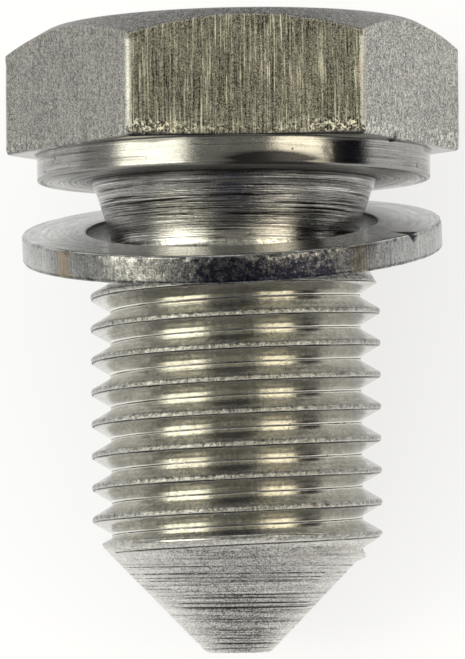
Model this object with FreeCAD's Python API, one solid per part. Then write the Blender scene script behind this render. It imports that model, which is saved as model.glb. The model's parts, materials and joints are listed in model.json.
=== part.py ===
import FreeCAD, Part
import math
import os

# Oil drain plug with a loose sealing washer, in millimetres.
# It lies as it comes to rest, on the washer's rim and the last turn of the thread.
# X runs across the plug, Y from the tip to the head, and Z up.
# Each piece is first drawn upright on its own axis. The plug has its head up, the seat
# under its collar at height 0 and its front towards -Y.

# Hexagon head
wrench_size = 18.7
corner_round = 0.3
hex_height = 5.9
top_flat_d = 17.5
top_chamfer_angle = 30.0
under_chamfer_angle = 9.0

# Collar under the hexagon, whose lower face is the washer's seat
collar_d = 18.6
collar_height = 1.35
collar_edge = 0.1

# Neck: a taper that centres the washer, then a plain relief above the thread
neck_top_d = 13.35
neck_d = 11.7
taper_length = 2.65

# Thread, right-handed. Its start is measured down from the seat, and its phase is
# how far below the seat a crest crosses the middle of the front.
thread_d = 13.7
pitch = 1.5
flank_angle = 60.0
crest_width = 0.33
root_width = 0.1
thread_start = 5.15
thread_start_angle = 30.0
thread_phase = 0.576

# Shank and its cone
shank_length = 22.25
cone_half_angle = 44.0
tip_d = 3.0
tip_edge = 0.1

# Washer, its edges broken by small bevels
washer_d = 19.85
washer_thickness = 1.35
washer_edge = 0.13
bore_clearance = 0.1
bore_edge = 0.06

# How the washer hangs on the lying plug: its gap to the seat, its gap to the neck and the
# thread, and how far the plug has rolled on its axis from having its front on top
seat_gap = 0.06
bore_gap = 0.03
plug_roll = 11.6

# The washer's lean is found by halving the range from upright to this angle, in degrees
lean_limit = 45.0
halvings = 40

thread_r = thread_d / 2
bore_d = max(thread_d, neck_d, neck_top_d) + bore_clearance
start_slope = math.tan(math.radians(thread_start_angle))
cone_slope = math.tan(math.radians(cone_half_angle))
flank_slope = math.tan(math.radians(flank_angle / 2))
taper_slope = (neck_top_d - neck_d) / 2 / taper_length
thread_rise = (thread_d - neck_d) / 2
relief_end = thread_start - abs(thread_rise) / start_slope
thread_end = shank_length - (thread_d - tip_d) / 2 / cone_slope
thread_depth = (pitch - crest_width - root_width) / 2 / flank_slope
groove_top = relief_end - pitch / 8
groove_bottom = thread_end + thread_depth / cone_slope + pitch / 2
ground_phase = thread_phase + pitch * (1 / 2 + plug_roll / 360)
ground_turns = math.floor((thread_end - ground_phase) / pitch)
last_crest = min(ground_phase + ground_turns * pitch + crest_width / 2, thread_end)


def revolve(outline):
    """Turn a closed outline of (radius, height) points about Z."""
    points = [FreeCAD.Vector(r, 0, z) for r, z in outline]
    face = Part.Face(Part.makePolygon(points + points[:1]))
    return face.revolve(FreeCAD.Vector(0, 0, 0), FreeCAD.Vector(0, 0, 1), 360)


def make_head():
    """Hexagon with two flats square to Y, its corners turned off above and below."""
    flat_r = wrench_size / 2
    corner_r = flat_r / math.cos(math.radians(30))
    corners = []
    for step in range(6):
        turn = math.radians(60 * step)
        corners.append(FreeCAD.Vector(corner_r * math.cos(turn), corner_r * math.sin(turn),
                                      collar_height))
    outline = Part.Face(Part.makePolygon(corners + corners[:1]))
    prism = outline.extrude(FreeCAD.Vector(0, 0, hex_height))
    corner_edges = [edge for edge in prism.Edges if edge.BoundBox.ZLength > hex_height / 2]
    prism = prism.makeFillet(corner_round, corner_edges)

    top = collar_height + hex_height
    top_drop = (corner_r - top_flat_d / 2) * math.tan(math.radians(top_chamfer_angle))
    under_rise = (corner_r - flat_r) * math.tan(math.radians(under_chamfer_angle))
    turned = revolve([
        (0, top),
        (top_flat_d / 2, top),
        (corner_r, top - top_drop),
        (corner_r, collar_height + under_rise),
        (flat_r, collar_height),
        (0, collar_height),
    ])
    return prism.common(turned)


def make_shank():
    """Collar, neck, thread blank and cone, turned in one profile."""
    collar_r = collar_d / 2
    return revolve([
        (0, collar_height),
        (collar_r - collar_edge, collar_height),
        (collar_r, collar_height - collar_edge),
        (collar_r, collar_edge),
        (collar_r - collar_edge, 0),
        (neck_top_d / 2, 0),
        (neck_d / 2, -taper_length),
        (neck_d / 2, -relief_end),
        (thread_r, -thread_start),
        (thread_r, -thread_end),
        (tip_d / 2 + tip_edge * cone_slope, tip_edge - shank_length),
        (tip_d / 2 - tip_edge, -shank_length),
        (0, -shank_length),
    ])


def make_groove():
    """Helical V with a narrow flat root, from past the cone up into the neck's relief.

    Its sides run on past the crests by a quarter of a crest's width, so that the turns
    of the groove stay apart.
    """
    root_r = thread_r - thread_depth
    root_half = root_width / 2
    outer_half = (pitch - crest_width) / 2 + crest_width / 4
    outer_r = root_r + (outer_half - root_half) / flank_slope
    profile = Part.makePolygon([
        FreeCAD.Vector(root_r, 0, -root_half),
        FreeCAD.Vector(outer_r, 0, -outer_half),
        FreeCAD.Vector(outer_r, 0, outer_half),
        FreeCAD.Vector(root_r, 0, root_half),
        FreeCAD.Vector(root_r, 0, -root_half),
    ])
    one_turn = Part.makeHelix(pitch, pitch, root_r).Edges[0]
    turns = math.ceil((groove_bottom - groove_top) / pitch)
    path = [one_turn.translated(FreeCAD.Vector(0, 0, turn * pitch)) for turn in range(turns)]
    groove = Part.Wire(path).makePipeShell([profile], True, True)
    groove.translate(FreeCAD.Vector(0, 0, -groove_top - turns * pitch))
    top_turn = 360 * (thread_phase + pitch / 4 - groove_top) / pitch
    groove.rotate(FreeCAD.Vector(0, 0, 0), FreeCAD.Vector(0, 0, 1), top_turn)
    return groove


def make_plug():
    """The whole plug as one solid."""
    return make_head().fuse(make_shank()).cut(make_groove())


def make_washer():
    """Flat ring with bevelled edges, centred on its own middle."""
    half = washer_thickness / 2
    outer_r = washer_d / 2
    bore_r = bore_d / 2
    return revolve([
        (bore_r, half - bore_edge),
        (bore_r + bore_edge, half),
        (outer_r - washer_edge, half),
        (outer_r, half - washer_edge),
        (outer_r, washer_edge - half),
        (outer_r - washer_edge, -half),
        (bore_r + bore_edge, -half),
        (bore_r, bore_edge - half),
    ])


def shank_reach(depth):
    """Radius of the blank this far below the seat, where the neck runs into the thread."""
    rise = max((depth - relief_end) * start_slope, 0)
    return neck_d / 2 + math.copysign(min(rise, abs(thread_rise)), thread_rise)


def washer_place(lean):
    """Where the washer lies when it leans by this angle, and its gap to the thread.

    Its head side touches the collar's rim and its bore touches the neck, both on the
    side away from the lean. Depths are measured down from the seat, along the axis.
    """
    sine = math.sin(lean)
    cosine = math.cos(lean)
    half = washer_thickness / 2
    axis_depth = seat_gap + collar_d / 2 * math.tan(lean) + half / cosine
    neck_reach = neck_top_d / 2 - taper_slope * (axis_depth - half * cosine) + half * sine
    low_side = (neck_reach + bore_gap) / (cosine - taper_slope * sine)
    slide = bore_d / 2 - low_side
    high_side = bore_d - low_side
    depth = axis_depth + high_side * sine + half * cosine
    reach = high_side * cosine - half * sine
    return axis_depth, slide, reach - shank_reach(depth) - bore_gap


def washer_lean():
    """The lean at which the bore meets the start of the thread, found by halving."""
    low = 0.0
    high = math.radians(lean_limit)
    for _ in range(halvings):
        middle = (low + high) / 2
        if washer_place(middle)[2] > 0:
            low = middle
        else:
            high = middle
    return low


def rest_tilt(lean, axis_depth, slide):
    """Slope of the axis when the washer's rim and the last crest touch the ground."""
    along = slide - washer_d / 2
    across = washer_thickness / 2 - washer_edge
    rim_depth = axis_depth + along * math.sin(lean) + across * math.cos(lean)
    rim_drop = across * math.sin(lean) - along * math.cos(lean)
    return math.atan2(rim_drop - thread_r, last_crest - rim_depth)


lean = washer_lean()
axis_depth, slide, _ = washer_place(lean)
tilt = math.degrees(rest_tilt(lean, axis_depth, slide))

side_axis = FreeCAD.Vector(1, 0, 0)
own_axis = FreeCAD.Vector(0, 0, 1)
washer_spot = FreeCAD.Placement(
    FreeCAD.Vector(0, -slide * math.cos(lean), -axis_depth - slide * math.sin(lean)),
    FreeCAD.Rotation(side_axis, math.degrees(lean)))
rolled = FreeCAD.Placement(FreeCAD.Vector(0, 0, 0), FreeCAD.Rotation(own_axis, plug_roll))
lying = FreeCAD.Placement(FreeCAD.Vector(0, 0, 0), FreeCAD.Rotation(side_axis, tilt - 90))

pieces = {"plug_body": make_plug(), "washer": make_washer()}
pieces["plug_body"].Placement = lying.multiply(rolled)
pieces["washer"].Placement = lying.multiply(washer_spot)

box = FreeCAD.BoundBox()
for piece in pieces.values():
    box.add(piece.optimalBoundingBox(False, False))
ground = FreeCAD.Vector(-box.Center.x, -box.Center.y, -box.ZMin)

os.makedirs("parts", exist_ok=True)
for name, piece in pieces.items():
    piece.translate(ground)
    piece.exportStep("parts/" + name + ".step")
    print(name, "volume", round(piece.Volume, 1), "box", piece.optimalBoundingBox(False, False))
print("lean", round(math.degrees(lean), 2), "tilt", round(tilt, 2), "moved", ground)
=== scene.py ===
import json
import math
from types import SimpleNamespace

import bmesh
import bpy
import numpy as np
from bpy.props import FloatProperty, FloatVectorProperty, PointerProperty
from mathutils import Matrix, Vector, noise


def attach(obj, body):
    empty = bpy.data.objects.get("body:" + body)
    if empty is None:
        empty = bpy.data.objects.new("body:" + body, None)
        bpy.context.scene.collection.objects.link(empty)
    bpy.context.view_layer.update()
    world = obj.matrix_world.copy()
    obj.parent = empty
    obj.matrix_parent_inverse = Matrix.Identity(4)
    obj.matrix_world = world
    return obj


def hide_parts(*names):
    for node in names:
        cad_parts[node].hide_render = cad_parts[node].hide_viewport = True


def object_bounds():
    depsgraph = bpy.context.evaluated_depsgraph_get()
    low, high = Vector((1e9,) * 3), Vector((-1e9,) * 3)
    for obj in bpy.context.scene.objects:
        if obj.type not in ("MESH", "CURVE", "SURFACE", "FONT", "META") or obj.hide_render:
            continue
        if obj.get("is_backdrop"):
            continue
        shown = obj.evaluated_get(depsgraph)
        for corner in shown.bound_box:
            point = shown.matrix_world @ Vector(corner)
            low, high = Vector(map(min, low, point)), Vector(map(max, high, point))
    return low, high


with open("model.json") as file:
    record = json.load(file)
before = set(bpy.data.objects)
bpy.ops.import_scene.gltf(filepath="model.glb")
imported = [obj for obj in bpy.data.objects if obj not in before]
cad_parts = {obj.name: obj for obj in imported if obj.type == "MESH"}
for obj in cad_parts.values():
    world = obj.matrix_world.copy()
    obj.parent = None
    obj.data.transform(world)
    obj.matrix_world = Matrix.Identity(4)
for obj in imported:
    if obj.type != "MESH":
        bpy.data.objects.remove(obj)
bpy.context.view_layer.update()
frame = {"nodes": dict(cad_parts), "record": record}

bl_info = {
    "name": "Drain plug with washer",
    "version": (1, 0, 0),
    "blender": (4, 5, 0),
    "location": "3D View > Sidebar > Drain plug",
    "description": "Builds a worn steel drain plug with its loose washer on a pale stage",
    "category": "Add Mesh",
}

# Shapes are worked out in millimetres, each piece upright on its own axis, and are put
# into the frame in metres. A turn is measured from the front, which the camera looks at,
# and is positive towards the right of the picture.
MM = 0.001
MOUNTS = {mount["name"]: mount for mount in frame["record"]["mounts"]}
HEX_HEIGHT = MOUNTS["hex_drive"]["dims"]["length_mm"]
THREAD_R = MOUNTS["thread"]["dims"]["r_mm"]
THREAD_LENGTH = MOUNTS["thread"]["dims"]["length_mm"]
WASHER_R = MOUNTS["sealing_face"]["dims"]["r_mm"]


def own_axes(axis, roll=0.0):
    """Columns X, Y and Z of a piece whose own Z is this axis, rolled about it."""
    up = np.array(axis) / np.linalg.norm(axis)
    side = np.array((1.0, 0.0, 0.0))
    turned = np.array(Matrix.Rotation(roll, 3, Vector(up)))
    return turned @ np.column_stack([side, np.cross(up, side), up])


def cad_roll():
    """How far the plug has rolled, from the corners of its hexagon in the CAD mesh."""
    points = np.array([vertex.co for vertex in frame["nodes"]["plug_body"].data.vertices])
    top = MOUNTS["head_top"]
    local = (points - np.array(top["pos_m"])) @ own_axes(top["axis"])
    reach = np.hypot(local[:, 0], local[:, 1])
    corners = local[reach > 0.999 * reach.max()]
    sixths = 6 * np.arctan2(corners[:, 1], corners[:, 0])
    return math.atan2(np.sin(sixths).mean(), np.cos(sixths).mean()) / 6


def mm_size(name, description, size, precision=5):
    """A length property, with its default in millimetres."""
    return FloatProperty(name=name, description=description, default=size * MM,
                         unit="LENGTH", precision=precision)


def degree_turn(name, description, degrees):
    """An angle property, with its default in degrees."""
    return FloatProperty(name=name, description=description,
                         default=math.radians(degrees), unit="ROTATION")


def tint(name, description, default):
    """A colour property."""
    return FloatVectorProperty(name=name, description=description, default=default,
                               subtype="COLOR", size=3, min=0, max=1)


class DrainPlugSizes(bpy.types.PropertyGroup):
    """Lengths of the plug that its mounts don't give."""
    wrench_size: mm_size("Wrench size", "Across the flats of the hexagon", 18.7)
    corner_round: mm_size("Corner rounding", "Radius of the hexagon's upright corners", 0.3)
    top_flat_d: mm_size("Top flat", "Diameter of the flat inside the top chamfer", 17.5)
    edge_round: mm_size("Edge rounding", "Wear of the hexagon's top and bottom edges", 0.09)
    under_bevel: mm_size("Lower bevel", "Height of the bevel under the hexagon's corners", 0.2)
    collar_d: mm_size("Collar diameter", "Diameter of the collar under the hexagon", 18.6)
    collar_height: mm_size("Collar height", "Height of the collar above its seat", 1.35)
    collar_edge: mm_size("Collar edge", "Rounding of the collar's lower edge", 0.1)
    neck_top_d: mm_size("Neck top", "Diameter of the neck at the seat", 13.35)
    neck_d: mm_size("Neck", "Diameter of the neck above the thread", 11.7)
    taper_length: mm_size("Taper length", "How far below the seat the neck's taper ends", 2.65)
    pitch: mm_size("Pitch", "Distance from one turn of the thread to the next", 1.5)
    crest_width: mm_size("Crest width", "Width of the thread's flat crest", 0.22)
    root_round: mm_size("Root rounding", "Radius of the bottom of the thread's groove", 0.17)
    thread_start: mm_size(
        "Thread start", "How far below the seat the thread has its full height", 5.15)
    thread_phase: mm_size(
        "Thread phase", "How far below the seat a crest crosses the front", 0.576)
    shank_length: mm_size("Shank length", "From the seat to the tip", 22.25)
    tip_d: mm_size("Tip", "Diameter of the flat at the tip", 3.0)


class DrainWasherSizes(bpy.types.PropertyGroup):
    """Lengths of the washer that its mount doesn't give."""
    bore_d: mm_size("Bore", "Diameter of the washer's hole", 13.8)
    thickness: mm_size("Thickness", "Thickness of the washer", 1.35)
    shift: mm_size("Shift", "How far the washer hangs left of the plug's middle", 0.09)
    edge_round: mm_size("Edge rounding", "Wear of the washer's outer edges", 0.13)


class DrainPlugLook(bpy.types.PropertyGroup):
    """Colours of the metal."""
    steel: tint("Steel", "Bright plated steel", (0.31, 0.305, 0.29))
    brushed: tint("Brushed flats", "Dull metal of the hexagon's sides", (0.30, 0.292, 0.238))
    worn: tint("Worn edges", "Bare metal where edges are rubbed", (0.66, 0.65, 0.61))
    # This dark colour also paints shade in the crevices under the hexagon.
    grime: tint("Grime", "Dark film in the roots and corners", (0.025, 0.024, 0.026))
    rust: tint("Rust", "Brown patches on the washer's rim", (0.34, 0.24, 0.12))
    stain: tint("Stain", "Blue-black stain on the washer's rim", (0.012, 0.012, 0.03))
    washer: tint("Washer", "Bare metal of the washer", (0.30, 0.30, 0.295))


class DrainPlugCamera(bpy.types.PropertyGroup):
    """Where the camera stands, as seen from the plug's own axis."""
    distance: mm_size("Distance", "From the camera to the middle of the plug", 220, 4)
    aim_height: mm_size("Aim", "How far below the head's top the middle of the plug is", 14.8)
    right: mm_size("Plug to the right", "How far the plug lies right of the centre", 0.142, 6)
    down: mm_size("Plug down", "How far the plug lies below the centre", 0.528, 6)
    turn: degree_turn("Turn", "How far the hexagon's front is turned to the right", 3.66)
    pitch: degree_turn("Pitch", "How far the camera leans over towards the tip", 2.98)
    roll: degree_turn("Roll", "How far the plug leans to the right in the picture", 0.633)
    lens: FloatProperty(
        name="Lens", description="Focal length on a 36 mm sensor, in millimetres",
        default=254.3)


def in_mm(group):
    """The lengths of a property group, in millimetres."""
    return SimpleNamespace(**{name: getattr(group, name) / MM for name in group.__annotations__})


def soft_noise(points, size, seed):
    """Smooth random values from -1 to 1 with bumps about this size, at points in mm."""
    shift = seed * np.array((7.31, 3.17, 5.73))
    spots = points.reshape(-1, 3) / size + shift
    values = [noise.noise(Vector(spot)) for spot in spots]
    return np.array(values).reshape(points.shape[:-1])


def bump_at(values, middle, width):
    """A smooth hump of height 1."""
    return np.exp(-((values - middle) / width) ** 2)


class Rings:
    """Rings of points from the head's top to the tip, with masks for the finish and for painted
    light and shade.
    """
    MASKS = {"flat": 0, "brush": 0, "batter": 0, "edge": 0, "grime": 0, "phase": 0,
             "crest": 0, "line": 0, "tone": 1, "gloss": 0.3, "rings": 0, "speckle": 0}

    def __init__(self, columns):
        self.columns = columns
        self.rows = []

    def add(self, angle, radius, height, **masks):
        self.rows.append({**self.MASKS, "angle": angle, "radius": radius, "height": height,
                          **masks})

    def table(self):
        """All rows as one array for each kind of value."""
        return SimpleNamespace(**{
            name: np.array([np.broadcast_to(np.asarray(row[name], float), (self.columns,))
                            for row in self.rows])
            for name in self.rows[0]})


# Columns of points round the plug and in half a corner of the hexagon, and how much the
# others crowd towards its corners
COLUMNS = 348
CORNER_COLUMNS = 4
CROWDING = 1.25
# Angle of the front about a piece's own axis, and the turn of the plug's first column
FRONT_ANGLE = -math.pi / 2
START_TURN = math.radians(150)
# Slopes of the top chamfer, the thread's start and flanks, the hexagon's corners and the cone
SLOPE_TOP = SLOPE_START = SLOPE_FLANK = SLOPE_CORNER = math.tan(math.radians(30))
SLOPE_CONE = math.tan(math.radians(44))
HEXAGON_LEAN = math.tan(math.radians(0.6))
# Turn and width of the dark patch low on the collar's front
COLLAR_PATCH_TURN = math.radians(7)
COLLAR_PATCH_WIDTH = 0.21
# Where the thread runs out on the cone, in turns past the first crest, and how far the
# climbing rows go on below the full thread
RUNOUT_TURNS = 11.5
RUNOUT_LENGTH = 2.1
# How far above the full thread its marks start, and how far above the climbing rows' end
# they stop and the cone's finish starts
MARKS_START = 0.9
MARKS_END = 1.3
CONE_FINISH = 1.75
# Where the thread's own finish ends below the seat
THREAD_FINISH_END = 17.6
# Points closer together than this are joined
MERGE_DISTANCE = 0.0005 * MM


def hexagon_columns(flat_r, corner_round):
    """Angle and radius of the columns round the rounded hexagon, crowded at its corners."""
    steps = COLUMNS // 6 - 2 * CORNER_COLUMNS
    reach = (flat_r - corner_round) * SLOPE_CORNER
    spread = np.sin(np.linspace(-CROWDING, CROWDING, steps + 1)) / math.sin(CROWDING)
    bend = np.radians(np.linspace(0, 30, CORNER_COLUMNS + 1))
    before, after = bend[:0:-1], bend[1:-1]
    side = np.concatenate([-reach - corner_round * np.sin(before), reach * spread,
                           reach + corner_round * np.sin(after)])
    out = np.concatenate([flat_r - corner_round * (1 - np.cos(before)),
                          np.full(steps + 1, flat_r),
                          flat_r - corner_round * (1 - np.cos(after))])
    turns = START_TURN + math.radians(30) + np.radians(60 * np.arange(6))
    angle = FRONT_ANGLE + (turns[:, None] + np.arctan2(side, out)[None, :]).ravel()
    return angle, np.tile(np.hypot(side, out), 6)


def face_mask(turn, values):
    """A mask with one value for each face, from the front one to the right and round."""
    return np.array(values)[np.round(turn / (math.tau / 6)).astype(int) % 6]


def add_head(rings, size):
    """Rows of the hexagon, its chamfers and underside. Returns their angles."""
    flat_r = size.wrench_size / 2
    top_r = size.top_flat_d / 2
    top = size.collar_height + HEX_HEIGHT
    angle, outline = hexagon_columns(flat_r, size.corner_round)
    turn = angle - FRONT_ANGLE
    shoulder = top - (outline - top_r) * SLOPE_TOP
    bottom = size.collar_height
    edge = size.edge_round
    brush = face_mask(turn, (1.0, 0.3, 0.8, 0.5, 0.9, 0.25))
    # The faces' tones are painted light and shade: the front face darker and the left face
    # lighter, as their reflections differ.
    tone = face_mask(turn, (0.66, 1.28, 0.95, 1.0, 1.05, 0.9))
    speckle = face_mask(turn, (0.9, 3.2, 1.5, 1.8, 1.3, 1.5))
    front = face_mask(turn, (1, 0, 0, 0, 0, 0))
    corner = (outline - flat_r) / (flat_r / math.cos(math.radians(30)) - flat_r)
    near_corner = np.clip(corner * 1.6, 0, 1)
    for radius in (2.6, 5.2, 7.6, top_r - 0.25):
        rings.add(angle, radius, top, gloss=0.34, rings=0.5)
    rings.add(angle, top_r - 0.06, top - 0.004, edge=0.5)
    # The top chamfer's tone is painted light and shade: darker at the front and back, lighter at
    # the sides.
    slope = {"tone": 0.29 + (0.38 + 0.06 * np.sin(turn)) * np.sin(turn) ** 2,
             "gloss": 0.36, "speckle": 1.7}
    rings.add(angle, top_r + 0.05, top - 0.045, **slope, edge=0.35)
    for share, wear in ((0.25, 0), (0.5, 0), (0.75, 0), (1, 0.2)):
        radius = top_r + (outline - edge - top_r) * share
        rings.add(angle, radius, top - (radius - top_r) * SLOPE_TOP, **slope, edge=wear)
    side = {"brush": brush, "tone": tone, "gloss": 0.34, "speckle": speckle}
    corner_wear = 0.75 * np.clip((corner - 0.92) / 0.02, 0, 1)
    rings.add(angle, outline - 0.18 * edge, shoulder + 0.12 * edge, **side,
              flat=0.5, edge=0.35, grime=0.35)
    rings.add(angle, outline, shoulder - 0.7 * edge, **side, flat=1, edge=0.35 + 0.25 * front)
    rings.add(angle, outline, shoulder - 2.2 * edge, **side, flat=1, edge=0.1)
    bevel = bottom + size.under_bevel * corner + 0.06
    battered = face_mask(turn, (1.1, 0.7, 0.4, 0.5, 0.4, 0.25))
    for share in np.linspace(0.08, 0.94, 13):
        height = shoulder + (bevel - shoulder) * share
        batter = bump_at(height - bevel, 0.15, 0.3) * (0.15 + 0.85 * near_corner) * battered
        rings.add(angle, outline, height, **side, flat=1, batter=batter, edge=corner_wear)
    rings.add(angle, outline, bevel, **side, flat=1,
              batter=(0.2 + 0.5 * near_corner) * battered)
    # The grime on these rows, strongest on the front face, is painted shade in the crevice
    # between the hexagon and the collar.
    rings.add(angle, outline - 0.012 - 0.05 * corner, bottom + 0.5 * edge, **side,
              flat=0.8, edge=0.2 - 0.2 * front, grime=0.9 * front)
    rings.add(angle, np.maximum(outline - edge - 0.05 * corner, size.collar_d / 2 + 0.01),
              bottom, tone=1.5, grime=0.2 + 1.2 * front)
    return angle


def add_collar(rings, size, hex_angle, angle):
    """Rows of the underside, the collar and the seat."""
    collar_r = size.collar_d / 2
    edge = size.collar_edge
    height = size.collar_height
    last = rings.rows[-1]
    for share in (0.4, 0.85):
        rings.add(hex_angle + (angle - hex_angle) * share,
                  last["radius"] + (collar_r - last["radius"]) * share,
                  last["height"] + (height - last["height"]) * share, tone=1.8, grime=0.2)
    # The grime on these two rows is painted shade in the crevice under the hexagon.
    rings.add(angle, collar_r + 0.004, height - 0.01, grime=0.8, tone=1.3)
    rings.add(angle, collar_r - 0.008, height - 0.05, grime=0.9, gloss=0.13)
    turn = np.radians(turn_degrees(angle))
    smooth = {"gloss": 0.12, "rings": 0.6, "tone": 0.95, "speckle": 0.15}
    # Marks a darker patch low on the collar's front, which the rows below darken.
    stain = bump_at(turn, COLLAR_PATCH_TURN, COLLAR_PATCH_WIDTH)
    for share in (0.1, 0.25, 0.4, 0.55, 0.7, 0.85):
        level = height + (edge - height) * share
        rings.add(angle, collar_r, level, **smooth,
                  grime=3.2 * stain * bump_at(level, 0.1, 0.42))
    rings.add(angle, collar_r, 1.7 * edge, **smooth, edge=0.15, grime=1.5 * stain)
    for inward, level, wear in ((0.04, 0.9, 0.3), (0.3, 0.3, 0.4)):
        rings.add(angle, collar_r - inward * edge, level * edge,
                  edge=wear * (1 - stain), grime=wear + 1.6 * stain)
    rings.add(angle, collar_r - edge, 0.04 * edge, edge=0.4, tone=1.5)
    # The seat's tone is painted light: the seat is made lighter than the collar in place of
    # light it reflects.
    seat = {"tone": 1.6, "rings": 2.6, "gloss": 0.3}
    rings.add(angle, collar_r - 2.2 * edge, 0.0, **seat)
    neck_r = size.neck_top_d / 2
    # Darker towards the corner with the neck.
    for share in (0.25, 0.5, 0.75, 0.93):
        rings.add(angle, collar_r + (neck_r - collar_r) * share, 0.0, **seat, grime=share / 4)
    rings.add(angle, neck_r + 0.06, 0.0, grime=1.0)


# Height of the small step under the seat, and how far below the seat it is
NECK_STEP = 0.06
NECK_STEP_DEPTH = 0.5


def neck_radius(size, depth):
    """Radius of the neck, with the small step under the seat."""
    slope = (size.neck_top_d - size.neck_d) / 2 / size.taper_length
    radius = size.neck_d / 2 + np.maximum(size.taper_length - depth, 0) * slope
    return radius + NECK_STEP / (1 + np.exp((depth - NECK_STEP_DEPTH) / 0.03))


def add_neck(rings, size, angle, end):
    """Rows of the tapered neck down to this depth."""
    depths = [0.07, 0.2, 0.4, 0.47, 0.53, 0.62]
    depths += list(np.linspace(0.8, size.taper_length - 0.12, 10))
    depths += [size.taper_length + 0.05, size.taper_length + 0.3, end - 0.15]
    for depth in depths:
        # Darker towards the corner at the seat.
        corner = bump_at(depth, 0.0, 0.3)
        rings.add(angle, neck_radius(size, depth), -depth, grime=corner, gloss=0.15,
                  rings=2.6, speckle=0.3)


def crest_depth(size, angle):
    """How far below the seat a crest lies at this angle, less whole turns."""
    return size.thread_phase - size.pitch * (angle - FRONT_ANGLE) / math.tau


def cone_radius(size, depth):
    """Radius of the cone's envelope."""
    return THREAD_R - np.maximum(depth - size.thread_start - THREAD_LENGTH, 0) * SLOPE_CONE


def turn_degrees(angle):
    """Degrees from the front, between -180 and 180."""
    return np.degrees((angle - FRONT_ANGLE + math.pi) % math.tau - math.pi)


def relief_end(size):
    """How far below the seat the thread starts to rise from the neck."""
    return size.thread_start - (THREAD_R - size.neck_d / 2) / SLOPE_START


def rolled_burr(size, angle, depth):
    """Height of the metal that the rolled groove pushed up where it runs out on the cone."""
    turn = turn_degrees(angle)
    groove = crest_depth(size, FRONT_ANGLE + np.radians(turn)) + size.pitch * RUNOUT_TURNS
    beside = np.interp(turn, (-30, 0, 90, 180), (0.0, 0.03, 0.3, 0.3))
    width = np.interp(turn, (-30, 0, 90), (0.06, 0.07, 0.17))
    tall = np.interp(turn, (-180, -150, -35, -15, 30, 75, 95, 180),
                     (0.3, 0.0, 0.0, 0.07, 0.11, 0.26, 0.36, 0.3))
    return tall * bump_at(depth, groove + beside, width)


def thread_radius(size, angle, depth):
    """Radius of the thread at these angles and depths, and its turns past the first crest."""
    share = (depth - crest_depth(size, angle)) / size.pitch
    from_crest = np.abs(share - np.round(share)) * size.pitch
    profile = THREAD_R - np.maximum(from_crest - size.crest_width / 2, 0) / SLOPE_FLANK
    from_root = size.pitch / 2 - from_crest
    sharp_root = THREAD_R - (size.pitch - size.crest_width) / 2 / SLOPE_FLANK
    bend = math.cos(math.atan(SLOPE_FLANK)) * size.root_round
    bottom = sharp_root + 2 * size.root_round - np.sqrt(
        np.maximum(size.root_round ** 2 - np.minimum(from_root, bend) ** 2, 0))
    profile = np.where(from_root < bend, bottom, profile)
    profile -= 0.02 * bump_at(from_crest, size.crest_width / 2, 0.05)
    start = np.maximum(size.neck_d / 2 + (depth - relief_end(size)) * SLOPE_START,
                       neck_radius(size, depth))
    envelope = np.minimum(start, cone_radius(size, depth) + rolled_burr(size, angle, depth))
    return np.minimum(profile, envelope), share


# Where the rows of one turn lie, in turns from a crest
THREAD_STOPS = (0.0, 0.055, 0.085, 0.12, 0.25, 0.39, 0.43, 0.465,
                0.5, 0.535, 0.57, 0.61, 0.75, 0.88, 0.915, 0.945)
# How worn the rows beside a crest are, and how dark the lines are
CREST_STOPS = {0.0: 1.0, 0.055: 1.0, 0.085: 0.6, 0.915: 0.6, 0.945: 1.0}
LINE_STOPS = {0.085: 1.1, 0.12: 0.4, 0.5: 1.0}
RUNOUT_STOPS = (0.43, 0.465)


def add_thread(rings, size, angle, start, end):
    """Rows that climb with the thread, held between two depths. Returns the first one."""
    base = crest_depth(size, angle[0])
    first_turn = math.floor((start - base) / size.pitch)
    last_turn = math.ceil((end + size.pitch - base) / size.pitch)
    first_row = len(rings.rows)
    drift = size.pitch * (angle - angle[0]) / math.tau
    side = np.sin(angle - FRONT_ANGLE) ** 2
    marks_top = max(start, size.thread_start - MARKS_START)
    for turn in range(first_turn, last_turn + 1):
        for stop in THREAD_STOPS:
            depth = np.clip(base + (turn + stop) * size.pitch - drift, start, end)
            radius, share = thread_radius(size, angle, depth)
            inside = (depth > marks_top) & (depth < end - MARKS_END)
            on_cone = np.clip((depth - end + CONE_FINISH) / 0.3, 0, 1)
            line = LINE_STOPS.get(stop, 0) * inside
            if turn == int(RUNOUT_TURNS) and stop in RUNOUT_STOPS:
                line = np.maximum(line, bump_at(turn_degrees(angle), 22, 45) * on_cone)
            tip_side = 0 < stop < 0.5
            crest = CREST_STOPS.get(stop, 0) * inside * (radius > THREAD_R - 0.3)
            # Painted light and shade: flanks facing the tip are lighter than those facing the
            # head, the roots are lifted into painted highlights, and on the cone the sides are
            # lighter than the front.
            tone = 2.0 if tip_side else 1.35
            tone += 0.9 * bump_at(stop, 0.5, 0.07) - 0.25 * crest
            rings.add(angle, radius, -depth, phase=share, crest=crest, line=line,
                      tone=tone + (1.15 + 1.2 * side - tone) * on_cone,
                      gloss=0.18 + 0.16 * on_cone, rings=0.8 * on_cone,
                      speckle=np.maximum(1.6 * on_cone, 0.2 if tip_side else 0.45))
    return first_row


# Turning marks on the cone: how far below the seat, and how strong
CONE_MARKS = ((18.92, 0.5), (19.52, 0.6), (19.66, 0.6), (19.90, 1.0), (20.11, 1.0), (20.61, 0.6),
              (21.17, 0.6), (21.55, 0.6), (21.79, 0.7), (22.02, 0.6))


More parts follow.
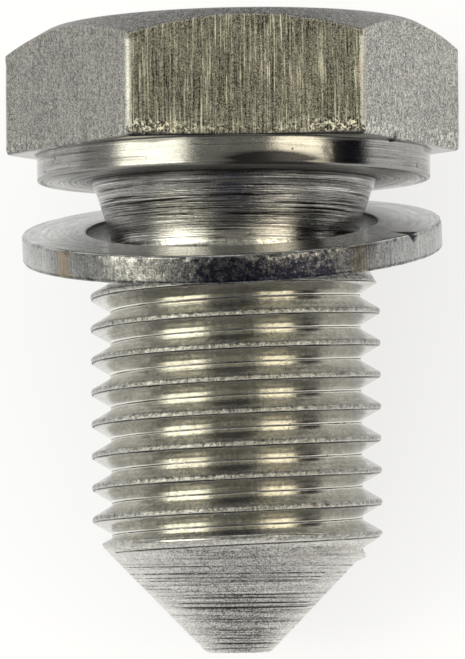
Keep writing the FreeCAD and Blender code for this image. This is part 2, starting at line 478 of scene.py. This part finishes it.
def add_cone(rings, size, angle, start):
    """Rows of the cone below the thread, and its tip."""
    tip_r = size.tip_d / 2
    side = np.sin(angle - FRONT_ANGLE) ** 2
    # The cone's tone is painted light: its sides lighter than its front.
    turned = {"gloss": 0.34, "rings": 1.3, "speckle": 2.0, "tone": 1.15 + 1.2 * side}
    depth = start
    for mark, strength in (*CONE_MARKS, (size.shank_length - 0.08, 0)):
        for between in np.arange(depth + 0.2, mark - 0.12, 0.24):
            rings.add(angle, cone_radius(size, between), -between, **turned)
        if strength:
            for step in (-0.05, -0.018, 0.018, 0.05):
                here = strength * (abs(step) < 0.02) * bump_at(turn_degrees(angle), 5, 60) * 1.4
                rings.add(angle, cone_radius(size, mark + step) - 0.02 * here, -mark - step,
                          **turned, line=here)
        depth = mark
    rings.add(angle, tip_r + 0.02, -size.shank_length + 0.05, edge=0.5, **turned)
    rings.add(angle, tip_r - 0.1, -size.shank_length, edge=0.3, **turned)
    for radius in (tip_r * 0.65, tip_r * 0.35):
        rings.add(angle, radius, -size.shank_length, **turned)


def ring_faces(rows, columns, helix_rows, climb):
    """Faces of a tube of rings that a point closes at each end.

    Between the helix rows, the last column joins the first one this many rows higher.
    """
    index = 1 + np.arange(rows * columns).reshape(rows, columns)
    across = np.roll(index, -1, axis=1)
    low, high = helix_rows
    higher = np.maximum(np.arange(low + 1, high) - climb, low)
    across[low + 1:high, -1] = index[higher, 0]
    across_low = across[1:].copy()
    across_low[high - 1, -1] = index[high - climb, 0]
    quads = np.stack([index[:-1], index[1:], across_low, across[:-1]], -1).reshape(-1, 4)
    bottom = 1 + rows * columns
    first, last = index[0].tolist(), index[-1].tolist()
    top_fan = [(0, a, b) for a, b in zip(first, first[1:] + first[:1])]
    low_fan = [(a, bottom, b) for a, b in zip(last, last[1:] + last[:1])]
    return top_fan + quads.tolist() + low_fan


def add_object(name, data):
    """A new object in the scene."""
    added = bpy.data.objects.new(name, data)
    bpy.context.scene.collection.objects.link(added)
    return added


def make_mesh(name, points, faces, masks):
    """A smooth closed mesh from points in mm, with one value for each mask at each point."""
    mesh = bpy.data.meshes.new(name)
    mesh.from_pydata((points * MM).tolist(), [], faces)
    for mask, values in masks.items():
        kind, field = ("FLOAT_VECTOR", "vector") if values.ndim > 1 else ("FLOAT", "value")
        stored = mesh.attributes.new(mask, kind, "POINT").data
        stored.foreach_set(field, values.astype(np.float32).ravel())
    work = bmesh.new()
    work.from_mesh(mesh)
    bmesh.ops.remove_doubles(work, verts=work.verts, dist=MERGE_DISTANCE)
    bmesh.ops.dissolve_degenerate(work, edges=work.edges, dist=MERGE_DISTANCE)
    bmesh.ops.recalc_face_normals(work, faces=work.faces)
    open_edges = [edge for edge in work.edges if len(edge.link_faces) != 2]
    if open_edges:
        raise RuntimeError(f"{name} isn't closed: {len(open_edges)} edges lack two faces")
    work.to_mesh(mesh)
    work.free()
    mesh.polygons.foreach_set("use_smooth", [True] * len(mesh.polygons))
    return add_object(name, mesh)


def place(axes, origin):
    """The matrix that takes these axes and their origin into the frame."""
    matrix = Matrix(axes.tolist()).to_4x4()
    matrix.translation = origin
    return matrix


def plug_axes():
    """The plug's own axes and the middle of its seat, in the frame."""
    axes = own_axes(MOUNTS["head_top"]["axis"], cad_roll())
    size = in_mm(bpy.context.scene.drain_plug_sizes)
    head = (HEX_HEIGHT + size.collar_height) * MM
    return axes, np.array(MOUNTS["head_top"]["pos_m"]) - axes[:, 2] * head


def ring_points(angle, radius, height):
    """Points round a piece's own axis."""
    return np.stack([radius * np.cos(angle), radius * np.sin(angle), height], -1)


def spread_points(table):
    """The rings' points in a row, with a point at the middle of each end."""
    rings = ring_points(table.angle, table.radius, table.height).reshape(-1, 3)
    top = (0, 0, table.height[0].mean())
    bottom = (0, 0, table.height[-1].mean())
    return np.vstack([[top], rings, [bottom]])


def end_to_end(values):
    """A mask of rings with the values for the two end points added."""
    flat = values.reshape(-1)
    return np.concatenate([flat[:1], flat, flat[-1:]])


def roughen(table):
    """Small uneven wear of the plug's edges, crests and faces."""
    points = ring_points(table.angle, table.radius, table.height)
    coarse = soft_noise(points, 1.6, 1)
    fine = soft_noise(points, 0.3, 2)
    table.radius -= table.edge * (0.018 * np.maximum(coarse + fine, 0) + 0.008 * fine)
    table.radius += table.flat * 0.006 * coarse
    table.radius -= table.batter * 0.02 * np.maximum(fine, 0)
    table.radius -= table.crest * (0.035 * np.abs(fine) + 0.03 * np.maximum(coarse, 0))
    table.height += table.crest * 0.02 * fine


# Turn from the front in degrees, height above the seat, width and depth of pressed marks
PRESSED = ((48, 1.42, 0.16, 0.14), (-66, 1.10, 0.10, 0.05), (-67, 0.85, 0.10, 0.06),
           (-68, 0.60, 0.10, 0.05), (-64, 1.45, 0.12, 0.05), (63, 0.35, 0.12, 0.05),
           (24, 0.75, 0.09, 0.03), (-75, 0.30, 0.12, 0.04), (130, 0.9, 0.14, 0.06))


def press_marks(table):
    """Dents, darker inside."""
    for turn, height, wide, deep in PRESSED:
        arc = (table.angle - FRONT_ANGLE - math.radians(turn) + math.pi) % math.tau - math.pi
        dent = np.exp(-((arc * table.radius) ** 2 + (table.height - height) ** 2) / wide ** 2)
        table.radius -= deep * dent
        table.grime += 1.3 * dent


def tilt_hexagon(table, size):
    """Leans the hexagon's planes a little to the side, as the photographed head does."""
    rise = np.clip(table.height / size.collar_height - 0.5, 0, 1)
    turn = table.angle - FRONT_ANGLE
    table.height += rise * HEXAGON_LEAN * table.radius * np.sin(turn)


def plug_mesh(size):
    """The plug as one closed mesh, upright on its own axis."""
    rings = Rings(COLUMNS)
    angle = FRONT_ANGLE + START_TURN + math.tau * np.arange(COLUMNS) / COLUMNS
    hex_angle = add_head(rings, size)
    add_collar(rings, size, hex_angle, angle)
    thread_top = relief_end(size) - size.pitch / 8
    thread_end = size.thread_start + THREAD_LENGTH + RUNOUT_LENGTH
    add_neck(rings, size, angle, thread_top)
    helix_start = add_thread(rings, size, angle, thread_top, thread_end)
    helix_end = len(rings.rows) - 1
    add_cone(rings, size, angle, thread_end)
    table = rings.table()
    tilt_hexagon(table, size)
    roughen(table)
    press_marks(table)
    points = spread_points(table)
    phase = math.tau * table.phase
    winding = table.angle - math.tau * np.floor(table.phase + 0.5)
    masks = {name: end_to_end(getattr(table, name)) for name in Rings.MASKS if name != "phase"}
    masks["own"] = points
    masks["lay"] = np.column_stack([end_to_end(values) for values in
                                    (np.cos(phase), np.sin(phase), winding)])
    reach = np.hypot(points[:, 0], points[:, 1])
    masks["turned"] = np.column_stack([points[:, :2], points[:, 2] + 0.6 * reach])
    fade = np.clip((THREAD_FINISH_END + table.height) * 3, 0, 1)
    masks["thread"] = end_to_end((table.phase != 0) * fade)
    faces = ring_faces(*table.radius.shape, (helix_start, helix_end), len(THREAD_STOPS))
    return make_mesh("plug", points, faces, masks)


WASHER_COLUMNS = 540
# Rounding of the bore's edges, and steps round each edge
BORE_EDGE = 0.06
EDGE_STEPS = 5
# Turns of the rim's front and notch, in degrees
WASHER_FRONT = 7.94
NOTCH_TURN = 58
# Change of the rim's brightness, which is painted light and shade (darker at the front, lighter
# at the sides), and strength of its stain, at these turns
RIM_LIGHT_AND_SHADE = ((-90, -62, -55, -25, 40, 60, 90), (0.35, 0.2, -0.15, -0.15, -0.1, 0.15, 0.3))
RIM_STAIN = ((-20, -8, 26, 34), (0, 0.75, 0.75, 0))


def washer_section(size):
    """Radius, height and edge mask of points round the washer's section, from its bore."""
    half = size.thickness / 2
    outer = WASHER_R
    bore = size.bore_d / 2
    edge = size.edge_round
    points = []

    def corner(radius, height, out, up, reach, first):
        """A rounded corner, from facing along one axis to facing along the other."""
        for step in range(EDGE_STEPS + 1):
            share = step / EDGE_STEPS if first else 1 - step / EDGE_STEPS
            bend = math.radians(90 * share)
            points.append((radius - out * reach * (1 - math.sin(bend)),
                           height - up * reach * (1 - math.cos(bend)), 1.0))

    def run(begin, finish, shares):
        """Points between two corners."""
        for share in shares:
            points.append((begin[0] + (finish[0] - begin[0]) * share,
                           begin[1] + (finish[1] - begin[1]) * share, 0.0))

    inner = BORE_EDGE
    face_shares = (0.04, 0.12, 0.3, 0.5, 0.7, 0.88, 0.96)
    corner(bore, half, -1, 1, inner, False)
    run((bore + inner, half), (outer - edge, half), face_shares)
    corner(outer, half, 1, 1, edge, True)
    run((outer, half - edge), (outer, edge - half), (0.06, 0.2, 0.35, 0.5, 0.65, 0.8, 0.94))
    corner(outer, -half, 1, -1, edge, False)
    run((outer - edge, -half), (bore + inner, -half), face_shares)
    corner(bore, -half, -1, -1, inner, True)
    run((bore, inner - half), (bore, half - inner), (0.1, 0.3, 0.5, 0.7, 0.9))
    return np.array(points)


def washer_mesh(size):
    """The washer as one closed ring, flat on its own middle."""
    section = washer_section(size)
    angle = math.tau * np.arange(WASHER_COLUMNS) / WASHER_COLUMNS
    radius = np.repeat(section[:, :1], WASHER_COLUMNS, axis=1)
    height = np.repeat(section[:, 1:2], WASHER_COLUMNS, axis=1)
    edge = np.repeat(section[:, 2:], WASHER_COLUMNS, axis=1)
    points = ring_points(angle, radius, height)
    coarse = soft_noise(points, 1.1, 11)
    fine = soft_noise(points, 0.3, 12)
    outside = radius > (WASHER_R + size.bore_d / 2) / 2
    turn = turn_degrees(np.broadcast_to(angle, radius.shape)) - WASHER_FRONT
    notch = (bump_at(turn, NOTCH_TURN, 1.5) * bump_at(radius, WASHER_R, 0.4)
             * bump_at(height, size.thickness / 2, 0.4))
    radius = radius - outside * (0.012 + 0.014 * fine + 0.014 * coarse
                                 + edge * 0.08 * np.maximum(coarse + fine, 0))
    height = height * (1 - 0.012 + 0.008 * coarse + 0.008 * fine) - 0.2 * notch
    radius = radius - 0.12 * notch
    points = ring_points(angle, radius, height).reshape(-1, 3)
    index = np.arange(radius.size).reshape(radius.shape)
    below = np.roll(index, -1, axis=0)
    corners = [index, np.roll(index, -1, axis=1), np.roll(below, -1, axis=1), below]
    faces = np.stack(corners, -1).reshape(-1, 4).tolist()
    face = (np.abs(height) > 0.9 * size.thickness / 2).astype(float)
    rim = outside * (1 - face)
    level = (height + size.thickness / 2) / size.thickness
    # The tone is painted light and shade: the flat faces lighter than the rim, and the rounded
    # edges darker, most on the side towards the seat.
    tone = (1 + 0.3 * face) * (1 - edge * (0.65 - 0.4 * (level > 0.5)))
    masks = {
        "edge": edge,
        "face": face,
        "tone": tone + rim * np.interp(turn, *RIM_LIGHT_AND_SHADE),
        "gloss": np.where(face > 0, 0.17, 0.2),
        "batter": rim * (bump_at(turn, -30, 9) + 0.5 * bump_at(turn, -70, 14)
                         + 0.5 * bump_at(turn, 66, 16)),
        "stain": rim * np.interp(turn, *RIM_STAIN) * (1.1 - 0.4 * level) + notch,
        "rust": rim * (bump_at(turn, -52, 2.6) + 0.7 * bump_at(turn, 36, 2.5)),
    }
    masks = {name: values.ravel() for name, values in masks.items()}
    masks["own"] = points
    masks["turned"] = np.column_stack([points[:, :2], points[:, 2] + radius.ravel()])
    return make_mesh("washer_ring", points, faces, masks)


TONE_LIMITS = (0.08, 3.0)
ROUGHNESS_LIMITS = (0.08, 0.7)
BUMP_STRENGTH = 0.7
BUMP_DISTANCE = 0.03 * MM


class Wire:
    """An output of a material's node. Arithmetic on it adds Math nodes."""

    def __init__(self, finish, socket):
        self.finish = finish
        self.socket = socket

    def maths(self, operation, first, second):
        return self.finish.node("ShaderNodeMath", {"operation": operation},
                                {0: first, 1: second})

    def __add__(self, other):
        return self.maths("ADD", self, other)

    def __radd__(self, other):
        return self.maths("ADD", other, self)

    def __sub__(self, other):
        return self.maths("SUBTRACT", self, other)

    def __rsub__(self, other):
        return self.maths("SUBTRACT", other, self)

    def __mul__(self, other):
        return self.maths("MULTIPLY", self, other)

    def __rmul__(self, other):
        return self.maths("MULTIPLY", other, self)


class Finish:
    """The nodes of a material or a world."""

    def __init__(self, owner):
        owner.use_nodes = True
        self.owner = owner
        self.tree = owner.node_tree
        self.tree.nodes.clear()

    def node(self, kind, settings, sockets, output=0):
        """Adds a node, makes its settings, then fills its sockets with values or links."""
        node = self.tree.nodes.new(kind)
        for name, value in settings.items():
            setattr(node, name, value)
        for name, value in sockets.items():
            if isinstance(value, Wire):
                self.tree.links.new(value.socket, node.inputs[name])
            else:
                node.inputs[name].default_value = value
        return Wire(self, node.outputs[output]) if node.outputs else None

    def mask(self, name, output="Fac"):
        return self.node("ShaderNodeAttribute", {"attribute_name": name}, {}, output)

    def grain(self, vector, scale, detail=3.0, roughness=0.6):
        """Noise of this many bumps a unit, one number or one for each axis of the vector."""
        spot = self.node("ShaderNodeVectorMath", {"operation": "MULTIPLY"},
                         {0: vector, 1: np.broadcast_to(scale, 3)})
        return self.node("ShaderNodeTexNoise", {}, {
            "Vector": spot, "Scale": 1.0, "Detail": detail, "Roughness": roughness})

    def span(self, value, low, high, to_low=0.0, to_high=1.0):
        """Maps a range of values to another one, and holds what lies outside it."""
        return self.node("ShaderNodeMapRange", {}, {
            "Value": value, "From Min": low, "From Max": high,
            "To Min": to_low, "To Max": to_high})

    def held(self, value, limits):
        """A value held between two limits."""
        return self.span(value, *limits, *limits)

    def end(self, shader, kind="ShaderNodeOutputMaterial"):
        """Ends the nodes with this shader. Returns the material or world."""
        self.node(kind, {}, {"Surface": shader})
        return self.owner

    def blend(self, factor, first, second):
        """A mix of two colours."""
        return self.node("ShaderNodeMix", {"data_type": "RGBA"}, {
            "Factor": factor, "A": first, "B": second}, "Result")

    def shade(self, colour, tone):
        """A colour made darker or brighter by a tone, which is held between its limits."""
        return self.node("ShaderNodeVectorMath", {"operation": "SCALE"}, {
            0: colour, "Scale": self.held(tone, TONE_LIMITS)})

    def metal(self, colour, gloss, height):
        """Bare metal of this colour, roughness and relief. Returns the material."""
        normal = self.node("ShaderNodeBump", {}, {
            "Strength": BUMP_STRENGTH, "Distance": BUMP_DISTANCE, "Height": height})
        return self.end(self.node("ShaderNodeBsdfPrincipled", {}, {
            "Base Color": colour, "Metallic": 1.0,
            "Roughness": self.held(gloss, ROUGHNESS_LIMITS), "Normal": normal}))


def rgba(colour):
    return (*colour, 1.0)


def pits(finish, vector, scale, size, share):
    """Small round pits: 1 in a pit, 0 outside. Only this share of the spots has one."""
    cells = finish.node("ShaderNodeTexVoronoi", {}, {"Vector": vector, "Scale": scale})
    spots = Wire(finish, cells.socket.node.outputs["Color"])
    chance = finish.node("ShaderNodeSeparateColor", {}, {"Color": spots})
    return finish.span(cells, size, size * 0.5) * finish.span(chance, 1 - share, 1.01 - share)


# Turning marks where the thread runs out on the cone: depth below the seat and half width
FINE_MARKS = ((18.20, 0.035), (18.53, 0.05), (18.72, 0.035), (18.86, 0.035))


def steel_finish(look):
    """Bright plated steel: turned rings, brushed flats, rolled thread, worn edges, grime, and
    painted light and shade.
    """
    steel = Finish(bpy.data.materials.new("Plated steel"))
    own = steel.mask("own", "Vector")
    flat = steel.mask("flat")
    thread = steel.mask("thread")
    crest = steel.mask("crest")
    brush = steel.mask("brush") * flat
    lathe = steel.mask("turned", "Vector")
    turned = steel.grain(lathe, (0.18, 0.18, 12.0), 4.0, 0.75)
    long_rings = steel.grain(lathe, (0.15, 0.15, 5.0), 3.0, 0.7)
    brushed = steel.grain(own, (12.0, 12.0, 0.35), 4.0, 0.75)
    rolled = steel.grain(steel.mask("lay", "Vector"), (3.0, 3.0, 1.2), 3.0, 0.6)
    grit = steel.grain(own, 15.0, 3.0, 0.8)
    speck = steel.grain(own, 4.5, 4.0, 0.8)
    cloud = steel.grain(own, 0.6, 3.0, 0.6)
    dots = pits(steel, own, 3.3, 0.16, 0.13)

    rings = steel.mask("rings")
    speckle = steel.mask("speckle")
    batter = steel.mask("batter")
    dabs = steel.span(speck, 0.5, 0.6) * batter
    bright_lines = steel.span(brushed, 0.56, 0.68) * brush
    dark_lines = steel.span(brushed, 0.47, 0.36) * brush
    bright_rings = steel.span(turned, 0.54, 0.68) * rings
    dark_rings = steel.span(turned * 0.5 + long_rings * 0.5, 0.48, 0.40) * rings
    tone = (steel.mask("tone") * (1 + (cloud - 0.5) * 0.6)
            + (grit - 0.5) * (0.8 + speckle * 3.6) + (speck - 0.5) * speckle * 1.5
            + bright_lines * 2.0 - dark_lines * 0.6 + bright_rings * 0.9 - dark_rings * 0.8
            + ((rolled - 0.5) * 1.2 + (speck - 0.5) * 2.2) * thread * (1 - crest)
            + (speck - 0.5) * 4.5 * crest
            + dabs * 4.5 - batter * 0.35)
    colour = steel.blend(brush * 0.9 + thread * 0.25, rgba(look.steel), rgba(look.brushed))
    colour = steel.shade(colour, tone)
    wear = steel.span(steel.mask("edge") * 0.8 + (grit - 0.5) * 1.2, 0.3, 0.8)
    colour = steel.blend(wear, colour, rgba(look.worn))
    # This darkening is partly grime and partly painted shade in the crevices under the hexagon.
    dirt = steel.span(steel.mask("grime") + (cloud - 0.5) * 0.8 + (grit - 0.5) * 0.9,
                      0.3, 1.0, 0.0, 0.95)
    lines = steel.span(steel.mask("line") + (cloud - 0.5) * 1.2 + (speck - 0.5) * 1.4,
                       0.45, 0.85, 0.0, 0.95)
    depth = 0 - steel.node("ShaderNodeSeparateXYZ", {}, {0: own}, "Z")
    for mark, width in FINE_MARKS:
        away = steel.node("ShaderNodeMath", {"operation": "ABSOLUTE"}, {0: depth - mark})
        broken = steel.span(speck + cloud, 0.9, 1.05)
        lines = lines + steel.span(away, width, width * 0.3) * broken
    dirt = steel.node("ShaderNodeMath", {"operation": "MAXIMUM", "use_clamp": True},
                      {0: dirt, 1: lines})
    colour = steel.blend(dirt, colour, rgba(look.grime))
    colour = steel.blend(dots * 0.85, colour, rgba(look.grime))
    gloss = steel.mask("gloss") + (grit - 0.5) * 0.3 + crest * 0.05 + dirt * 0.15
    height = (brushed * brush * 0.8 + turned * rings * 0.25 + rolled * thread * 0.08
              + grit * (steel.span(speckle, 0.5, 2.0, 0.15, 1.6) + crest * 0.8 + batter * 0.8)
              + speck * (crest * 1.6 + batter) - dots * 0.8 - lines * 0.5)
    return steel.metal(colour, gloss, height)


def washer_finish(look):
    """Plain worn metal with a fine grain, battered and stained on its rim, with painted light
    and shade on its faces, rim and edges.
    """
    metal = Finish(bpy.data.materials.new("Washer metal"))
    own = metal.mask("own", "Vector")
    face = metal.mask("face")
    stain = metal.mask("stain")
    batter = metal.mask("batter")
    grit = metal.grain(own, 10.0, 4.0, 0.8)
    speck = metal.grain(own, 4.0, 4.0, 0.8)
    cloud = metal.grain(own, 0.8, 3.0, 0.6)
    across = metal.grain(own, (8.0, 8.0, 0.8), 4.0, 0.7)
    turned = metal.grain(metal.mask("turned", "Vector"), (0.4, 0.4, 7.0), 4.0, 0.75)
    tone = (metal.mask("tone") * (1 + (cloud - 0.5) * 0.7) + (grit - 0.5) * 2.6
            + (turned - 0.5) * 4.0 * face + (across - 0.5) * 1.6 * (1 - face)
            + (speck - 0.45) * 3.0 * batter)
    colour = metal.shade(tuple(look.washer), tone)
    wear = metal.span(metal.mask("edge") * 0.3 + (speck - 0.5) * 2.0, 0.3, 0.9)
    colour = metal.blend(wear, colour, rgba(look.worn))
    colour = metal.blend(metal.mask("rust") * 0.55, colour, rgba(look.rust))
    dirt = metal.span(stain + (speck - 0.5) * 2.6, 0.35, 0.75, 0.0, 0.93)
    colour = metal.blend(dirt, colour, rgba(look.stain))
    colour = metal.blend(pits(metal, own, 2.4, 0.16, 0.12) * 0.85, colour, rgba(look.grime))
    gloss = metal.mask("gloss") + (grit - 0.5) * 0.25 + dirt * 0.1
    height = grit * 0.4 + across * (1 - face) * 0.4 + turned * face * 0.3 + speck * batter
    return metal.metal(colour, gloss, height)


# Half the floor's side in metres, the floor's own glow and the air's light on the object
FLOOR_HALF = 2.5
FLOOR_GLOW = 0.68
AIR_LIGHT = 0.85


def seen_rays(finish):
    """1 for rays from the camera, reflections and glass, 0 for light on the object."""
    rays = finish.node("ShaderNodeLightPath", {}, {}, "Is Camera Ray")
    outputs = rays.socket.node.outputs
    for name in ("Is Glossy Ray", "Is Transmission Ray"):
        rays = rays + Wire(finish, outputs[name])
    return finish.span(rays, 0.0, 1.0)


def floor_finish():
    """A pale floor that keeps the plug's shadow."""
    floor = Finish(bpy.data.materials.new("Pale floor"))
    cloud = floor.grain(floor.node("ShaderNodeTexCoord", {}, {}, "Object"), 40.0)
    gloss = floor.span(cloud, 0.3, 0.7, 0.75, 0.85)
    plain = floor.node("ShaderNodeBsdfPrincipled", {}, {
        "Base Color": (0.93, 0.93, 0.93, 1.0), "Roughness": gloss})
    bright = floor.node("ShaderNodeEmission", {}, {"Color": (1, 1, 1, 1)})
    return floor.end(floor.node("ShaderNodeMixShader", {}, {
        0: seen_rays(floor) * FLOOR_GLOW, 1: plain, 2: bright}))


def card_finish(name, level):
    """A card that reflections see at this level."""
    card = Finish(bpy.data.materials.new(name))
    return card.end(card.node("ShaderNodeEmission", {}, {"Color": rgba(level)}))


def flat_quad(name, middle, right, along):
    """A rectangle from its middle and two half sides, all in metres."""
    corners = [middle - right - along, middle + right - along,
               middle + right + along, middle - right + along]
    mesh = bpy.data.meshes.new(name)
    mesh.from_pydata([corner.tolist() for corner in corners], [], [(0, 1, 2, 3)])
    return add_object(name, mesh)


ROOM = 600 * MM
# Tilts towards the tip of the room's bands, in degrees
BY_HEAD, MIDDLE, NEAR_TIP, FAR = (-52, -18), (-18, 12), (12, 27), (27, 52)
# Each panel's name, its angles round the plug from the front, its band and its level
SOFTBOXES = (
    ("Left softbox", (-69, -28), MIDDLE, (3.0, 2.9, 2.35)),
    ("Right softbox", (24, 54), MIDDLE, (2.1, 1.85, 1.25)),
)
CARDS = (
    ("Left wall", (-112, -69), MIDDLE, (0.5, 0.5, 0.48)),
    ("Ceiling", (-28, 24), MIDDLE, (0.35, 0.345, 0.3)),
    ("Dark panel", (54, 92), MIDDLE, (0.01, 0.01, 0.015)),
    ("Left wall by the tip", (-112, -69), NEAR_TIP, (0.42, 0.42, 0.42)),
    ("Lit gap", (-69, -51), NEAR_TIP, (0.6, 0.58, 0.46)),
    ("Ceiling left by the tip", (-51, -17), NEAR_TIP, (0.2, 0.19, 0.16)),
    ("Ceiling by the tip", (-17, 38), NEAR_TIP, (0.03, 0.03, 0.06)),
    ("Right wall by the tip", (38, 92), NEAR_TIP, (0.62, 0.61, 0.58)),
    ("Far left", (-112, -27), FAR, (0.6, 0.6, 0.58)),
    ("Far ceiling", (-27, 22), FAR, (0.09, 0.09, 0.11)),
    ("Far right", (22, 92), FAR, (0.65, 0.64, 0.6)),
    ("Left by the head", (-92, 0), BY_HEAD, (0.35, 0.35, 0.33)),
    ("Right by the head", (0, 92), BY_HEAD, (0.35, 0.35, 0.33)),
)


def camera_axes():
    """Columns to the right of, away from and along the plug, as the camera sees it."""
    turn = bpy.context.scene.drain_plug_camera.turn
    return own_axes(MOUNTS["head_top"]["axis"], cad_roll() - turn)


def panel_place(axes, angles, tilts):
    """Middle and two half sides of a flat panel of the room round the plug."""
    first, last = np.radians(angles)
    low, high = ROOM * np.tan(np.radians(tilts))
    middle, half = (first + last) / 2, (last - first) / 2
    out = axes[:, 0] * math.sin(middle) - axes[:, 1] * math.cos(middle)
    side = axes[:, 0] * math.cos(middle) + axes[:, 1] * math.sin(middle)
    return (out * ROOM * math.cos(half) - axes[:, 2] * (low + high) / 2,
            side * ROOM * math.sin(half), axes[:, 2] * (high - low) / 2)


class DRAIN_PLUG_OT_stage(bpy.types.Operator):
    """Makes the camera, the pale floor, the cards and the soft lamps"""
    bl_idname = "drain_plug.stage"
    bl_label = "Stage"

    def execute(self, context):
        scene = context.scene
        scene.view_settings.view_transform = "Standard"
        self.make_camera(scene)
        self.make_world(scene)
        floor = flat_quad("Floor", np.zeros(3), np.array((FLOOR_HALF, 0, 0)),
                          np.array((0, FLOOR_HALF, 0)))
        floor.data.materials.append(floor_finish())
        floor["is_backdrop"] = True
        axes = camera_axes()
        centre = np.array(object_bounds()).mean(axis=0)
        for name, angles, tilts, level in CARDS:
            middle, side, along = panel_place(axes, angles, tilts)
            card = flat_quad(name, centre + middle, side, along)
            card.data.materials.append(card_finish(name, level))
            card.visible_camera = False
            card.visible_diffuse = False
            card.visible_shadow = False
            card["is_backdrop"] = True
        for name, angles, tilts, level in SOFTBOXES:
            middle, side, along = panel_place(axes, angles, tilts)
            self.make_lamp(name, centre + middle, side, along, level)
        return {"FINISHED"}

    def make_camera(self, scene):
        view = scene.drain_plug_camera
        axes = camera_axes()
        aim = np.array(MOUNTS["head_top"]["pos_m"]) - axes[:, 2] * view.aim_height
        side, away, tip_way = axes[:, 0], axes[:, 1], -axes[:, 2]
        level = math.cos(view.pitch) * tip_way + math.sin(view.pitch) * away
        right = math.cos(view.roll) * side + math.sin(view.roll) * level
        down = math.cos(view.roll) * level - math.sin(view.roll) * side
        forward = math.cos(view.pitch) * away - math.sin(view.pitch) * tip_way
        spot = aim - view.right * right - view.down * down - view.distance * forward
        camera = add_object("Camera", bpy.data.cameras.new("Camera"))
        camera.matrix_world = place(np.column_stack([right, -down, -forward]), spot)
        camera.data.lens = view.lens
        scene.camera = camera

    def make_world(self, scene):
        scene.world = bpy.data.worlds.new("Studio")
        room = Finish(scene.world)
        strength = AIR_LIGHT + seen_rays(room) * (1 - AIR_LIGHT)
        air = room.node("ShaderNodeBackground", {}, {
            "Color": (1, 1, 1, 1), "Strength": strength})
        room.end(air, "ShaderNodeOutputWorld")

    def make_lamp(self, name, middle, side, along, level):
        lamp = bpy.data.lights.new(name, "AREA")
        lamp.shape = "RECTANGLE"
        lamp.size = 2 * np.linalg.norm(side)
        lamp.size_y = 2 * np.linalg.norm(along)
        strength = max(level)
        lamp.color = [value / strength for value in level]
        lamp.energy = strength * math.pi * lamp.size * lamp.size_y
        right, up = (way / np.linalg.norm(way) for way in (side, along))
        softbox = add_object(name, lamp)
        softbox.matrix_world = place(np.column_stack([right, up, np.cross(right, up)]), middle)
        softbox.visible_camera = False


class DRAIN_PLUG_OT_plug(bpy.types.Operator):
    """Builds the plug with its hexagon head, collar, neck, thread and cone"""
    bl_idname = "drain_plug.plug"
    bl_label = "Plug"

    def execute(self, context):
        piece = plug_mesh(in_mm(context.scene.drain_plug_sizes))
        piece.data.transform(place(*plug_axes()))
        piece.data.materials.append(steel_finish(context.scene.drain_plug_look))
        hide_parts("plug_body")
        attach(piece, "root")
        return {"FINISHED"}


class DRAIN_PLUG_OT_washer(bpy.types.Operator):
    """Builds the loose sealing washer on the plug's neck"""
    bl_idname = "drain_plug.washer"
    bl_label = "Washer"

    def execute(self, context):
        size = in_mm(context.scene.drain_washer_sizes)
        piece = washer_mesh(size)
        face = MOUNTS["sealing_face"]
        axes = own_axes(-np.array(face["axis"]))
        middle = (np.array(face["pos_m"]) + axes[:, 2] * size.thickness / 2 * MM
                  - axes[:, 0] * context.scene.drain_washer_sizes.shift)
        piece.data.transform(place(axes, middle))
        piece.data.materials.append(washer_finish(context.scene.drain_plug_look))
        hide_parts("washer")
        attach(piece, "root")
        return {"FINISHED"}


class DRAIN_PLUG_PT_panel(bpy.types.Panel):
    """Lists the sizes and colours, and builds the pieces"""
    bl_idname = "DRAIN_PLUG_PT_panel"
    bl_label = "Drain plug"
    bl_space_type = "VIEW_3D"
    bl_region_type = "UI"
    bl_category = "Drain plug"

    def draw(self, context):
        for operator in OPERATORS:
            self.layout.operator(operator.bl_idname)
        for name in SETTINGS:
            group = getattr(context.scene, name)
            for prop in group.__annotations__:
                self.layout.prop(group, prop)


OPERATORS = (DRAIN_PLUG_OT_stage, DRAIN_PLUG_OT_plug, DRAIN_PLUG_OT_washer)
SETTINGS = {
    "drain_plug_sizes": DrainPlugSizes,
    "drain_washer_sizes": DrainWasherSizes,
    "drain_plug_look": DrainPlugLook,
    "drain_plug_camera": DrainPlugCamera,
}


def register():
    for cls in (*SETTINGS.values(), *OPERATORS, DRAIN_PLUG_PT_panel):
        bpy.utils.register_class(cls)
    for name, group in SETTINGS.items():
        setattr(bpy.types.Scene, name, PointerProperty(type=group))


def unregister():
    for name in SETTINGS:
        delattr(bpy.types.Scene, name)
    for cls in (DRAIN_PLUG_PT_panel, *OPERATORS, *SETTINGS.values()):
        bpy.utils.unregister_class(cls)


def main():
    register()
    bpy.ops.drain_plug.stage()
    bpy.ops.drain_plug.plug()
    bpy.ops.drain_plug.washer()


if __name__ == "__main__":
    main()
